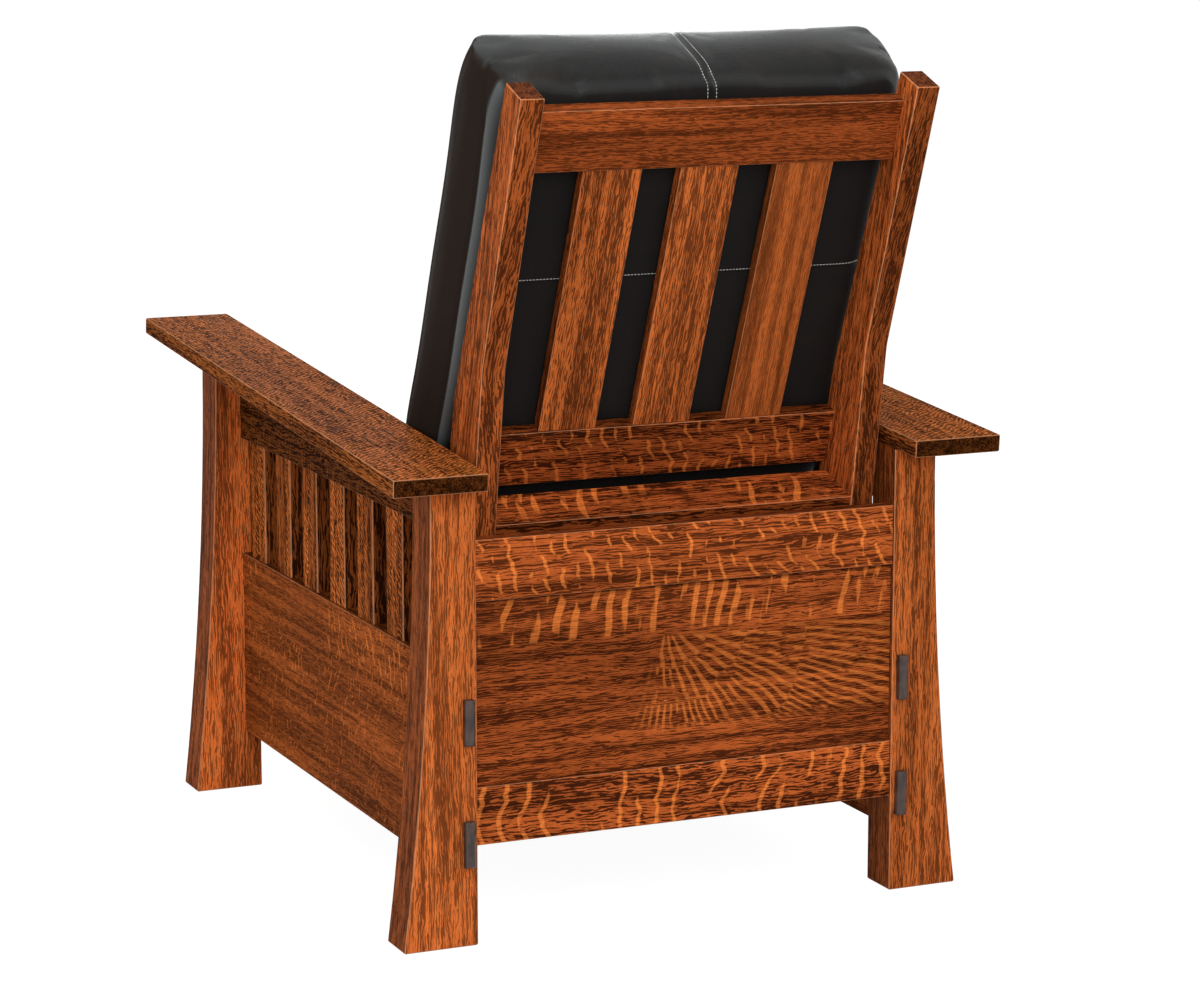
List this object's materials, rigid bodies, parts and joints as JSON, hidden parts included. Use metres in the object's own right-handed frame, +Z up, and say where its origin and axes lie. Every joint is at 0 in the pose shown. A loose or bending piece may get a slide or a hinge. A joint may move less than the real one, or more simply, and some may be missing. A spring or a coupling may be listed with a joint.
{
  "type": "reclining armchair",
  "caption": "Low wooden armchair with broad sloping arms, slatted sides, thick cushions, a reclining back and a footrest that folds out from under the seat",
  "frame": {"origin": "centre of the bounding box at floor level, footrest folded and back upright", "axes": "+Z up, the chair faces -Y, and +X is the sitter's left; X = 0 is the plane of symmetry"},
  "size_m": [0.7872, 1.0178, 1.0707],
  "materials": {
    "oak": "reddish-brown stained quarter-sawn oak, satin lacquer",
    "dark_wood": "near-black stained hardwood, satin",
    "frame_wood": "plain unstained hardwood, matt",
    "leather": "black grained leather with pale double stitching",
    "webbing": "dark elastic webbing",
    "linkage_steel": "black painted steel, semi-gloss",
    "zinc_steel": "zinc plated steel, dull"
  },
  "bodies": {
    "base": {"rear_leg_left": "oak", "rear_leg_right": "oak", "front_leg_left": "oak", "front_leg_right": "oak", "arm_left": "oak", "arm_right": "oak", "arm_apron_left": "oak", "arm_apron_right": "oak", "side_board_left": "oak", "side_board_right": "oak", "side_slats_left": "oak", "side_slats_right": "oak", "tenon_keys": "dark_wood", "base_top_rail": "oak", "base_bottom_rail": "oak", "base_back_panel": "oak", "base_stretcher": "frame_wood", "mechanism_cleat_left": "frame_wood", "mechanism_cleat_right": "frame_wood", "base_plate_left": "linkage_steel", "base_plate_right": "linkage_steel", "base_plate_screws": "zinc_steel", "base_rivets": "zinc_steel"},
    "front_swing": {"front_swing_links": "linkage_steel"},
    "rear_swing": {"rear_swing_links": "linkage_steel"},
    "seat": {"seat_plate_left": "linkage_steel", "seat_plate_right": "linkage_steel", "seat_side_rail_left": "frame_wood", "seat_side_rail_right": "frame_wood", "seat_front_rail": "frame_wood", "seat_rear_rail": "frame_wood", "seat_webbing": "webbing", "seat_cushion": "leather", "seat_rivets": "zinc_steel"},
    "back": {"back_post_left": "oak", "back_post_right": "oak", "back_bracket_left": "linkage_steel", "back_bracket_right": "linkage_steel", "back_top_rail": "oak", "back_lower_rail": "oak", "back_bottom_board": "oak", "back_slat_1": "oak", "back_slat_2": "oak", "back_slat_3": "oak", "back_bracket_bolts": "zinc_steel", "back_cushion": "leather"},
    "footrest_rear_link": {"footrest_rear_links": "linkage_steel", "footrest_cross_tube": "linkage_steel"},
    "footrest_front_link": {"footrest_front_links": "linkage_steel"},
    "footrest_carrier": {"footrest_carrier_links": "linkage_steel", "footrest_carrier_rivets": "zinc_steel"},
    "footrest_control": {"footrest_control_links": "linkage_steel", "footrest_control_rivets": "zinc_steel"},
    "footrest": {"footrest_board": "frame_wood", "footrest_pad": "leather", "footrest_screws": "zinc_steel", "footrest_bracket_rivets": "zinc_steel", "footrest_bracket_left": "linkage_steel", "footrest_bracket_right": "linkage_steel"}
  },
  "joints": [
    {"name": "recline", "type": "hinge", "parent": "base", "child": "front_swing", "pos_m": [0, -0.20458, 0.296], "axis": [-1, 0, 0], "range_deg": [0, 38]},
    {"name": "rear_swing_pivot", "type": "hinge", "parent": "base", "child": "rear_swing", "pos_m": [0, 0.10542, 0.296], "axis": [-1, 0, 0], "range_deg": [0, 38]},
    {"name": "seat_carry", "type": "hinge", "parent": "front_swing", "child": "seat", "pos_m": [0, -0.18927, 0.18707], "axis": [-1, 0, 0], "range_deg": [-38, 0]},
    {"name": "back_hinge", "type": "hinge", "parent": "seat", "child": "back", "pos_m": [0, 0.30055, 0.396], "axis": [-1, 0, 0], "range_deg": [0, 28.5]},
    {"name": "footrest_open", "type": "hinge", "parent": "seat", "child": "footrest_rear_link", "pos_m": [0, -0.30373, 0.272], "axis": [-1, 0, 0], "range_deg": [0, 100]},
    {"name": "front_link_pivot", "type": "hinge", "parent": "seat", "child": "footrest_front_link", "pos_m": [0, -0.36435, 0.307], "axis": [-1, 0, 0], "range_deg": [0, 100]},
    {"name": "carrier_pivot", "type": "hinge", "parent": "footrest_rear_link", "child": "footrest_carrier", "pos_m": [0, -0.23362, 0.07936], "axis": [-1, 0, 0], "range_deg": [-100, 0]},
    {"name": "control_pivot", "type": "hinge", "parent": "footrest_front_link", "child": "footrest_control", "pos_m": [0, -0.27714, 0.06738], "axis": [-1, 0, 0], "range_deg": [-100, 0]},
    {"name": "footrest_pivot", "type": "hinge", "parent": "footrest_carrier", "child": "footrest", "pos_m": [0, -0.37218, 0.15936], "axis": [-1, 0, 0], "range_deg": [0, 100]}
  ],
  "couplings": [
    {"joint": "rear_swing_pivot", "follows": "recline", "ratio": 1},
    {"joint": "seat_carry", "follows": "recline", "ratio": -1},
    {"joint": "back_hinge", "follows": "recline", "ratio": 0.75},
    {"joint": "front_link_pivot", "follows": "footrest_open", "ratio": 1},
    {"joint": "carrier_pivot", "follows": "footrest_open", "ratio": -1},
    {"joint": "control_pivot", "follows": "footrest_open", "ratio": -1},
    {"joint": "footrest_pivot", "follows": "footrest_open", "ratio": 1}
  ]
}
